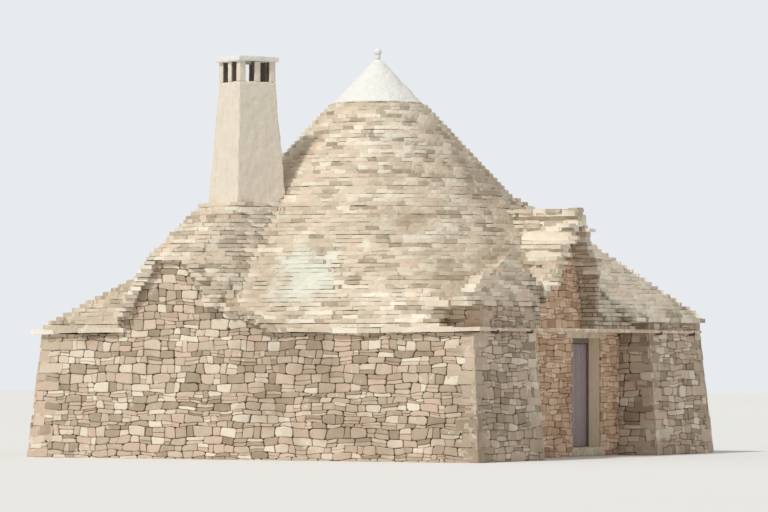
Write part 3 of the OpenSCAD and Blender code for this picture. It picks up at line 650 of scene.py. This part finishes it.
slab_row = slab_row_tree()
courses = courses_tree()
# Pale patches on the roof: a greenish bloom on the front slope and a paler strip high on the cone under the cap,
# and painted sunlight on the entrance roof's near slope and on the far roof beside the entrance
roof_stone = stone_finish(
    "roof_slabs", [(146, 132, 114), (202, 189, 168), (228, 218, 200), (226, 208, 188), (240, 232, 216),
                   (252, 248, 238)], (186, 169, 146), (236, 237, 224), 0.58,
    [((0.65, -3.3, 2.86), (0.85, 0.9, 0.65), (236, 240, 228), 0.7),
     ((3.45, -0.38, 3.45), (0.95, 0.50, 0.62), (249, 242, 226), 0.55),
     ((3.30, 2.40, 3.00), (1.40, 1.90, 1.10), (255, 244, 228), 0.42),
     ((1.30, 0.72, 5.30), (0.34, 0.30, 0.55), (246, 243, 232), 0.7)])
roof_solids = merged(*[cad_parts[node].data for node in ROOF_NODES])
for label, foot, head, length, seed in zip(("low", "middle", "high"), RING_ENDS, RING_ENDS[1:],
                                           (0.25, 0.23, 0.20), (21, 22, 23)):
    laid = grown(roof_solids, courses, foot=foot + SLAB_RISE / 2, head=head + SLAB_RISE / 2 + 0.002,
                 rise=SLAB_RISE, length=length, depth=0.22, outset=0.014, rough=0.016, seed=seed,
                 material=roof_stone)
    piece(f"roof_courses_{label}", laid, "house", "roof_slabs")

# Under the slabs lie the roof's solids themselves, drawn in a little, with darker joints between rows
gap_place, close_gap = finish("roof_gaps")
gap_parts = gap_place.split()
gap_across = gap_parts + gap_parts.out(1) + gap_place.noise(3.0, 2.0) * 0.12
gap_rows = gap_place.node("ShaderNodeTexBrick", {
    "Vector": gap_place.vector(gap_across, gap_parts.out(2) - WALL_TOP), "Color1": colour(180, 165, 143),
    "Color2": colour(222, 208, 186), "Mortar": colour(84, 71, 58), "Scale": 1.0, "Mortar Size": 0.006,
    "Mortar Smooth": 0.3, "Brick Width": 0.26, "Row Height": SLAB_RISE}, offset=0.37, squash=0.6,
    squash_frequency=3)
roof_gap = close_gap((gap_place.noise(9.0, 3.0) * 0.5).blend(gap_rows, (150, 134, 114)), 0.92,
                     gap_place.noise(30.0, 3.0) * 0.4 - gap_rows.out(1), 0.02)
for node in ROOF_NODES:
    core = node_copy(node)
    for vert in core.verts:
        away = Vector((vert.co.x, vert.co.y, 0.0)).normalized() * 0.02
        if node == "entrance_roof":
            off_ridge = vert.co.y - RIDGE_Y
            away = Vector((0.02, math.copysign(min(abs(off_ridge), 0.045), off_ridge), 0.025))
        vert.co -= away + Vector((0, 0, 0.012))
    piece(node + "_core", mesh_of(node, core, roof_gap), "house", "roof_slabs", node)

# Corner stones: bigger, squarer stones laid in turn along one wall and the other, which tie the walls
# together at the outer corners and at both sides of the recess.
EAVES_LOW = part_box("eaves_front")[0].z
RAISED_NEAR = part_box("near_wing_eaves")[0].z
RAISED_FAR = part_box("far_wing_eaves")[0].z
CORNER_FOOT = 0.004
HALF_JOINT = 0.006


def corner_stones(foot, head, first_way, second_way, seed):
    """The stones up one corner, from its foot to its head."""
    pick = random.Random(seed)
    foot, head, first_way, second_way = [Vector(one) for one in (foot, head, first_way, second_way)]
    laid, height = [], 0.0
    full = head.z - foot.z
    while height < full - 0.06:
        tall = min(pick.uniform(0.11, 0.24), full - height)
        legs = [pick.uniform(0.28, 0.52), pick.uniform(0.16, 0.26)]
        if len(laid) % 2:
            legs.reverse()
        out = pick.uniform(-0.016, -0.002)
        stone = []
        for level in (height + HALF_JOINT, height + tall - HALF_JOINT):
            corner = foot.lerp(head, level / full) - (first_way + second_way) * out
            stone += [corner, corner + first_way * legs[0], corner + first_way * legs[0] + second_way * legs[1],
                      corner + second_way * legs[1]]
        laid.append(stone)
        height += tall
    return laid


def blocks_mesh(blocks):
    """Closed blocks of eight corners each, the four lower ones first."""
    mesh = bmesh.new()
    for corners in blocks:
        verts = [mesh.verts.new(corner) for corner in corners]
        for face in ((3, 2, 1, 0), (4, 5, 6, 7), (0, 1, 5, 4), (1, 2, 6, 5), (2, 3, 7, 6), (3, 0, 4, 7)):
            mesh.faces.new([verts[i] for i in face])
    bmesh.ops.recalc_face_normals(mesh, faces=mesh.faces)
    return mesh_of("blocks", mesh)


def worn_tree():
    """Gives each block of the mesh that it gets its own tone, and hand-made, uneven faces."""
    tree, ink, blocks, cuts, lump, scale, seed, material = open_tree(
        "worn", blocks="Geometry", cuts="Int", lump="Float", scale="Float", seed="Int", material="Material")
    tone = ink.random(0.0, 1.0, seed, ID=ink.node("GeometryNodeInputMeshIsland"))
    cut = blocks.stored("tone", tone, "POINT").through("GeometryNodeSubdivideMesh", {1: cuts})
    own = ink.recalled("tone")
    place = ink.node("GeometryNodeInputPosition").vectors("ADD", ink.vector(own * 30.0, 0.0, own * 50.0))
    wander = place.noise(scale, 3.0, output=1).vectors("SUBTRACT", (0.5, 0.5, 0.5)).scaled(lump * 2.0)
    return close_tree(tree, cut.moved(Offset=wander), material)


worn = worn_tree()
half_eaves = HALF_BASE - LEAN * EAVES_LOW
quoins = []
for x_side, y_side, seed in ((-1, -1, 51), (1, -1, 52), (1, 1, 53), (-1, 1, 54)):
    quoins += corner_stones((x_side * HALF_BASE, y_side * HALF_BASE, CORNER_FOOT),
                            (x_side * half_eaves, y_side * half_eaves, EAVES_LOW),
                            (-x_side, 0, 0), (0, -y_side, 0), seed)
for foot_x, y, way, foot, head, seed in (
        (HALF_BASE, RECESS_NEAR, -1, CORNER_FOOT, WALL_TOP, 55),
        (HALF_TOP, RECESS_NEAR, -1, WALL_TOP, RAISED_NEAR, 57),
        (HALF_BASE, RECESS_FAR, 1, CORNER_FOOT, WALL_TOP, 56),
        (HALF_TOP, RECESS_FAR, 1, WALL_TOP, RAISED_FAR, 58),
        (HALF_TOP, BAND_Y, 1, WALL_TOP, RAISED_NEAR, 87),
        (HALF_TOP, HALF_TOP, -1, WALL_TOP, RAISED_FAR, 60)):
    quoins += corner_stones((foot_x, y, foot), (HALF_TOP, y, head), (-1, 0, 0), (0, way, 0), seed)
laid = grown(blocks_mesh(quoins), worn, cuts=2, lump=0.010, scale=9.0, seed=5, material=wall_stone)
piece("corner_stones", laid, "house", "wall_rubble")

# Eaves: thick flat slabs that lie level along the wall tops, reach out past the faces and shed the rain.
# Over the two entrance corners they lie on the raised tops.
EAVES_EDGE = HALF_TOP + 0.085
EAVES_MID = 2.11
GABLE_LOW, GABLE_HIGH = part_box("front_gable")


def lines_mesh(runs):
    """Bare edges through the points of each run."""
    points, edges = [], []
    for run in runs:
        edges += [(len(points) + i, len(points) + i + 1) for i in range(len(run) - 1)]
        points += run
    mesh = bpy.data.meshes.new("lines")
    mesh.from_pydata(points, edges, [])
    return mesh


def slabs(label, runs, slot, nodes=(), length=0.4, depth=0.45, thick=0.08, outset=0.0, rough=0.02, seed=1):
    """A piece of flat slabs laid level along each run of points, which the end slabs don't pass."""
    short = []
    for run in runs:
        run = [Vector(point) for point in run]
        ends = [(b - a).normalized() * min(length * 0.72, (b - a).length * 0.45)
                for a, b in ((run[0], run[1]), (run[-1], run[-2]))]
        short.append([run[0] + ends[0], *run[1:-1], run[-1] + ends[1]])
    laid = grown(lines_mesh(short), slab_row, length=length, depth=depth, thick=thick, outset=outset,
                 rough=rough, seed=seed, material=roof_stone)
    piece(label, laid, "house", slot, *nodes)


def wavy(start, end, sway=0.016, step=0.45):
    """Points from start to end in plan along a wall top that has settled a little up and down."""
    start, end = [Vector((*place, EAVES_MID)) for place in (start, end)]
    count = max(2, round((end - start).length / step))
    points = [start.lerp(end, i / count) for i in range(count + 1)]
    return [point + Vector((0, 0, sway * math.sin(point.x * 1.9 + point.y * 1.3 + 0.8 * math.sin(point.x * 3.1))))
            for point in points]


slabs("eaves_front_slabs", [wavy((-EAVES_EDGE, -EAVES_EDGE), (GABLE_LOW.x, -EAVES_EDGE)),
                            wavy((GABLE_HIGH.x - 0.12, -EAVES_EDGE), (EAVES_EDGE, -EAVES_EDGE))],
      "eaves_slab", ["eaves_front"], seed=61)
slabs("eaves_left_slabs", [wavy((-EAVES_EDGE, -EAVES_EDGE + 0.3), (-EAVES_EDGE, EAVES_EDGE - 0.3))],
      "eaves_slab", ["eaves_left"], seed=62)
slabs("eaves_back_slabs", [wavy((-EAVES_EDGE, EAVES_EDGE), (HALF_TOP - 0.1, EAVES_EDGE))],
      "eaves_slab", ["eaves_back"], seed=63)
near_start, far_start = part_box("near_wing_eaves")[0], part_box("far_wing_eaves")[0]
near_mid, far_mid = RAISED_NEAR + 0.04, RAISED_FAR + 0.04
near_end = (EAVES_EDGE, RECESS_NEAR - 0.16, near_mid)
slabs("near_eaves_slabs", [[(near_start.x + 0.55, -EAVES_EDGE, near_mid), (EAVES_EDGE, -EAVES_EDGE, near_mid)],
                           [(EAVES_EDGE, -EAVES_EDGE + 0.25, near_mid), near_end]],
      "eaves_slab", ["near_wing_eaves"], thick=0.09, seed=64)
slabs("far_eaves_slabs", [[(EAVES_EDGE, far_start.y + 0.12, far_mid), (EAVES_EDGE, EAVES_EDGE - 0.1, far_mid)],
                          [(far_start.x + 0.2, EAVES_EDGE, far_mid), (EAVES_EDGE - 0.2, EAVES_EDGE, far_mid)]],
      "eaves_slab", ["far_wing_eaves"], seed=65)
# The raised slabs lie on a core of their own, so that no daylight shows between them
for node in ("near_wing_eaves", "far_wing_eaves"):
    low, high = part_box(node)
    low, high = low + Vector((0.0, 0.035, 0.006)), high - Vector((0.035, 0.035, 0.006))
    core = node_copy(node)
    for vert in core.verts:
        vert.co = [min(max(value, least), most) for value, least, most in zip(vert.co, low, high)]
    piece(node + "_core", mesh_of(node, core, roof_gap), "house", "eaves_slab")

# Coping and platform: small flat slabs climb the two edges of the alcove's gable in steps and lie level on
# its head, and two rows of slabs edge the platform that the chimney stands on.
CHIMNEY_X, CHIMNEY_Y, CHIMNEY_TURN = -1.1, -2.5, math.radians(-28)
head_left, head_right, head_z = -1.95, -1.2, GABLE_HIGH.z
coping = (
    ((GABLE_LOW.x - 0.03, WALL_TOP), (GABLE_LOW.x - 0.02, WALL_TOP + 0.2), (head_left - 0.02, head_z)),
    ((head_left, head_z + 0.03), (head_right, head_z + 0.03)),
    ((head_right, head_z - 0.02), (CHIMNEY_X + 0.42, WALL_TOP + 0.37), (GABLE_HIGH.x - 0.1, WALL_TOP + 0.02)))
slabs("front_gable_coping", [[(x, -HALF_TOP, z) for x, z in run] for run in coping], "roof_slabs",
      length=0.10, depth=0.42, thick=0.07, outset=0.07, rough=0.035, seed=66)
platform_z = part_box("alcove_roof")[1].z
to_chimney = Matrix.Translation((CHIMNEY_X, CHIMNEY_Y, 0)) @ Matrix.Rotation(CHIMNEY_TURN, 4, "Z")
for level, half, seed in ((platform_z - 0.03, 0.56, 67), (platform_z - 0.12, 0.64, 68)):
    ring = [to_chimney @ Vector((x * half, y * half, level)) for x, y in ((-1, 1), (-1, -1), (1, -1), (1, 1))]
    slabs(f"chimney_foot_slabs_{seed}", [ring[:2], ring[1:3], ring[2:]], "roof_slabs", length=0.3, depth=0.3,
          thick=0.09, outset=0.03, rough=0.03, seed=seed)

# Entrance roof: two slopes of thin slabs that run back from the entrance gable into the cone, with rows of
# their own in steps up both rakes and level along the ridge.
# The cone's slope and its point under the cap, to end each row of slabs in the cone's face
CONE_RISE = 1.0650
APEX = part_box("cone_cap")[1].z + 0.045 * CONE_RISE
roof_low, roof_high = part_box("entrance_roof")
front_x, rake_x, ridge_z = roof_high.x + 0.04, roof_high.x + 0.01, roof_high.z


def cone_seat(y, z):
    """How far along X the slabs at y and z go back into the cone."""
    return math.sqrt(max(0.0, ((APEX - z) / CONE_RISE) ** 2 - y * y)) - 0.1


ridge_mid = ridge_z - 0.045
slabs("entrance_ridge_slabs", [[(cone_seat(RIDGE_Y, ridge_z), RIDGE_Y, ridge_mid), (front_x, RIDGE_Y, ridge_mid)]],
      "roof_slabs", length=0.27, depth=0.26, thick=0.065, outset=0.13, rough=0.02, seed=70)
rows = []
for label, foot, count, seed in (("near", Vector((roof_low.y, WALL_TOP + 0.56)), 16, 72),
                                 ("far", Vector((roof_high.y, WALL_TOP + 0.78)), 14, 73)):
    slope = (Vector((RIDGE_Y, ridge_z)) - foot).length
    slabs(f"entrance_rake_{label}", [[(rake_x, foot.x, foot.y - 0.05), (rake_x, RIDGE_Y, ridge_z - 0.09)]],
          "roof_slabs", length=slope / count, depth=0.30, thick=0.096, rough=0.016, seed=seed)
    for i in range(count):
        share = (i + 0.4) / count
        y, z = foot.x + (RIDGE_Y - foot.x) * share, foot.y + (ridge_z - 0.03 - foot.y) * share
        rows.append([(min(cone_seat(y, z), front_x - 0.4), y, z), (front_x, y, z)])
slabs("entrance_roof_slabs", rows, "roof_slabs", length=0.25, depth=0.16, thick=0.098, outset=0.018, rough=0.018,
      seed=71)


# Cap: the top of the cone under a thick coat of limewash that softens every edge, with a white stone
# finial, a neck with a ball, set on its point.
def softened(node, voxel, lump, scale, material, slot, seed):
    """A piece in place of a CAD node: its shape with softened edges and the uneven faces of handwork."""
    even = modified(mesh_of(node, node_copy(node)), "REMESH", {"mode": "VOXEL", "voxel_size": voxel})
    even.materials.clear()
    mesh = grown(even, worn, cuts=0, lump=lump, scale=scale, seed=seed, material=material)
    piece(node + "_worn", mesh, "house", slot, node)


def dress(material, *nodes):
    """Gives their material to CAD nodes that show as they are."""
    for node in nodes:
        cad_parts[node].data.materials.clear()
        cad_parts[node].data.materials.append(material)


softened("cone_cap", 0.025, 0.028, 5.0, limewash, "limewash", 81)
dress(limewash, "finial")

# Chimney: a tapering shaft of plastered stone, turned off the lines of the walls, with four sooty posts
# and a limewashed slab on top that keeps the rain out.
FLUE_HALF = 0.35
plaster_look = ((226, 216, 200), (206, 190, 172), 0.45)
chimney_plaster = limewash_finish("chimney_plaster", *plaster_look)
sooty_plaster = limewash_finish("chimney_soot", *plaster_look,
                                ((CHIMNEY_X, CHIMNEY_Y, 0.0), CHIMNEY_TURN, FLUE_HALF))
softened("chimney_shaft", 0.028, 0.016, 4.0, chimney_plaster, "chimney_plaster", 82)
softened("chimney_posts", 0.016, 0.008, 9.0, sooty_plaster, "chimney_plaster", 83)
softened("chimney_slab", 0.016, 0.018, 5.0, limewash, "dressed_stone", 84)

# Lintel and sill: one long dressed stone over the doorway, bedded on both piers, and a slab worn smooth by
# feet under it.
dressed_place, close_dressed = finish("dressed_stone")
dressed_veins = dressed_place.noise(5.0, 6.0, 0.6).step(0.40, 0.70)
dressed_rough = dressed_place.noise(20.0, 3.0) * 0.2 + 0.7
dressed_stone = close_dressed(dressed_veins.blend((222, 208, 184), (186, 166, 140)), dressed_rough,
                              dressed_place.noise(45.0, 6.0, 0.7), 0.008)
softened("entrance_lintel", 0.02, 0.010, 7.0, dressed_stone, "dressed_stone", 85)
softened("door_sill", 0.02, 0.008, 6.0, dressed_stone, "dressed_stone", 86)


# Door: two leaves of upright boards in faded mauve-grey paint, each on two iron straps that turn on pins
# at the back of a plain frame.
def wood_finish(name, grain_light, grain_dark, worn_tone, wear, along, rough):
    """Weathered wood: grain along one axis, and worn patches where paint or bark has gone."""
    place, close = finish(name)
    tone = place.node("ShaderNodeAttribute", output=2, attribute_name="tone")
    grain = place.vectors("MULTIPLY", along).noise(9.0, 5.0, 0.65)
    base = (grain.step(0.38, 0.66) * 0.7 + tone * 0.3).blend(grain_light, grain_dark)
    bare = place.noise(7.0, 5.0, 0.7, distortion=0.5).step(wear, wear + 0.08)
    base = (bare * 0.8).blend(base, worn_tone)
    return close(base, grain * 0.15 + rough, grain + bare * -0.4, 0.004, 0.8)


BOARDS = 5
BOARD_T = 0.04
HALF_GAP = 0.0015
door_wood = wood_finish("door_wood", (184, 167, 168), (142, 128, 138), (196, 180, 168), 0.64, (14.0, 14.0, 1.0),
                        0.62)
frame_wood = wood_finish("frame_wood", (150, 142, 128), (112, 104, 92), (170, 162, 146), 0.60, (12.0, 12.0, 1.5),
                         0.72)
iron_place, close_iron = finish("hinge_iron")
rust = iron_place.noise(26.0, 5.0, 0.7).step(0.42, 0.62)
hinge_iron = close_iron(rust.blend((70, 66, 64), (118, 76, 50)), rust * 0.25 + 0.55,
                        iron_place.noise(90.0, 4.0), 0.002)

for node, body in (("door_leaf_near", "near_leaf"), ("door_leaf_far", "far_leaf")):
    hinges = node_copy(node)
    outer_x = max(vert.co.x for vert in hinges.verts)
    back_x = outer_x - BOARD_T
    panel = [v.co.copy() for v in hinges.verts if v.co.x > outer_x - 0.001]
    low = Vector((back_x, min(v.y for v in panel), min(v.z for v in panel)))
    high = Vector((outer_x, max(v.y for v in panel), max(v.z for v in panel)))
    gone = [f for f in hinges.faces if max(v.co.x for v in f.verts) > back_x + 0.001
            or min(v.co.x for v in f.verts) > back_x - 0.0003]
    bmesh.ops.delete(hinges, geom=gone, context="FACES")
    bmesh.ops.holes_fill(hinges, edges=[e for e in hinges.edges if e.is_boundary])
    bmesh.ops.recalc_face_normals(hinges, faces=hinges.faces)
    board_w = (high.y - low.y) / BOARDS
    boards = []
    for i in range(BOARDS):
        y0, y1 = low.y + i * board_w + HALF_GAP, low.y + (i + 1) * board_w - HALF_GAP
        face_x = outer_x - 0.002 * ((i + 1) % 2)
        boards.append([(x, y, z) for z in (low.z + 0.002 * (i % 2), high.z - 0.003 * (i % 3))
                       for x, y in ((back_x, y0), (face_x, y0), (face_x, y1), (back_x, y1))])
    planks = grown(blocks_mesh(boards), worn, cuts=3, lump=0.0012, scale=14.0, seed=91, material=door_wood)
    piece(node + "_planked", merged(planks, mesh_of(node, hinges, hinge_iron)), body, "door_wood", node)
softened("door_frame", 0.012, 0.002, 9.0, frame_wood, "frame_wood", 92)
dress(hinge_iron, "hinge_pins")

# Pole: a peeled stem, bleached by the sun, that lies level along the entrance side in four iron brackets
# on the faces of the walls.
pole_wood = wood_finish("pole_wood", (232, 208, 186), (190, 166, 146), (244, 230, 214), 0.52, (10.0, 1.0, 10.0),
                        0.70)
softened("shade_pole", 0.011, 0.006, 3.0, pole_wood, "pole_wood", 93)
dress(hinge_iron, "pole_brackets")

# Inside: a floor of broad worn slabs, dressed slabs across the corners of the room, and the corbelled
# dome in limewashed courses that step inward up to the slab that closes it.
floor_stone = stone_finish("floor_stone", [(170, 160, 144), (198, 188, 170), (216, 208, 192)], (150, 138, 120),
                           (206, 198, 180), 0.66)
floor_face = ((0, 0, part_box("floor")[1].z), (0, 0, 1))
cores([floor_face], wall_core, "floor_stone", "floor")
stones("floor_slabs", floor_face, ["floor"], floor_stone, "floor_stone", length=0.62, height=0.48, joint=0.03,
       seed=96)
dress(dressed_stone, "corner_slabs", "dome_top_slab")
dome_stone = limewash_finish("dome_stone", (240, 236, 224), (188, 178, 158), 0.6)
dress(dome_stone, "dome_lower", "dome_middle", "dome_upper")

# The pale finish of the studio floor.
studio_place, close_studio = finish("studio_floor")
studio_floor.data.materials.append(
    close_studio(studio_place.noise(0.05, 1.0).blend((226, 226, 224), (230, 230, 228)), 0.9))
